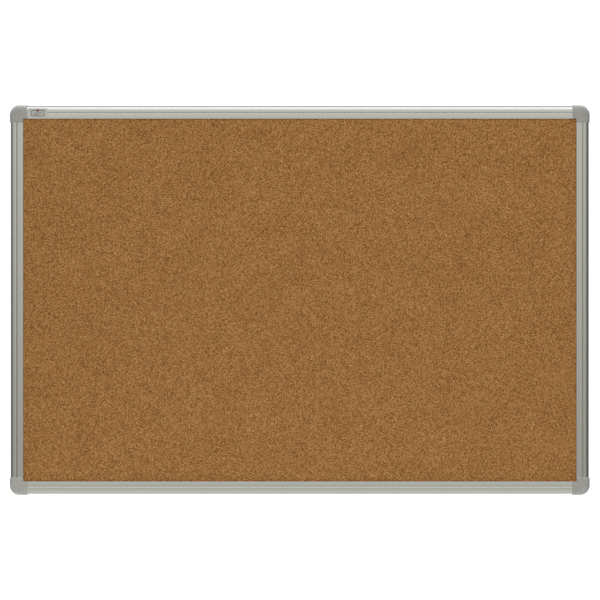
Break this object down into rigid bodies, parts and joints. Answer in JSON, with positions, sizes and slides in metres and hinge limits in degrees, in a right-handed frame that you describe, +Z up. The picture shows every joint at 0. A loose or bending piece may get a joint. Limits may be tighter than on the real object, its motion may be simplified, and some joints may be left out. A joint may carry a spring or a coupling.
{
  "type": "framed cork bulletin board",
  "caption": "Wall-hung cork bulletin board in a slim aluminium frame, with grey corner covers that pull off forward to reach the wall-screw holes.",
  "frame": {"origin": "centre of the four wall-screw holes, on the wall plane behind the board", "axes": "+X along the board's width, to the right for someone facing the cork; +Y from the cork towards the wall; +Z up"},
  "size_m": [0.9144, 0.0216, 0.6144],
  "materials": {
    "cork": "matte",
    "softboard": "matte",
    "backing": "matte",
    "frame_aluminium": "satin",
    "base_plastic": "matte",
    "cover_plastic": "satin",
    "screw_steel": "satin",
    "badge_plate": "satin"
  },
  "bodies": {
    "framed_board": {"cork_sheet": "cork", "softboard_core": "softboard", "backing_sheet": "backing", "top_rail": "frame_aluminium", "bottom_rail": "frame_aluminium", "left_rail": "frame_aluminium", "right_rail": "frame_aluminium", "corner_base_top_left": "base_plastic", "corner_base_top_right": "base_plastic", "corner_base_bottom_left": "base_plastic", "corner_base_bottom_right": "base_plastic", "rail_screws": "screw_steel", "label_badge": "badge_plate"},
    "cover_top_left": {"corner_cover_top_left": "cover_plastic"},
    "cover_top_right": {"corner_cover_top_right": "cover_plastic"},
    "cover_bottom_left": {"corner_cover_bottom_left": "cover_plastic"},
    "cover_bottom_right": {"corner_cover_bottom_right": "cover_plastic"}
  },
  "joints": [
    {"name": "cover_top_left_pull", "type": "slide", "parent": "framed_board", "child": "cover_top_left", "axis": [0, -1, 0], "range_m": [0, 0.03]},
    {"name": "cover_top_right_pull", "type": "slide", "parent": "framed_board", "child": "cover_top_right", "axis": [0, -1, 0], "range_m": [0, 0.03]},
    {"name": "cover_bottom_left_pull", "type": "slide", "parent": "framed_board", "child": "cover_bottom_left", "axis": [0, -1, 0], "range_m": [0, 0.03]},
    {"name": "cover_bottom_right_pull", "type": "slide", "parent": "framed_board", "child": "cover_bottom_right", "axis": [0, -1, 0], "range_m": [0, 0.03]}
  ]
}
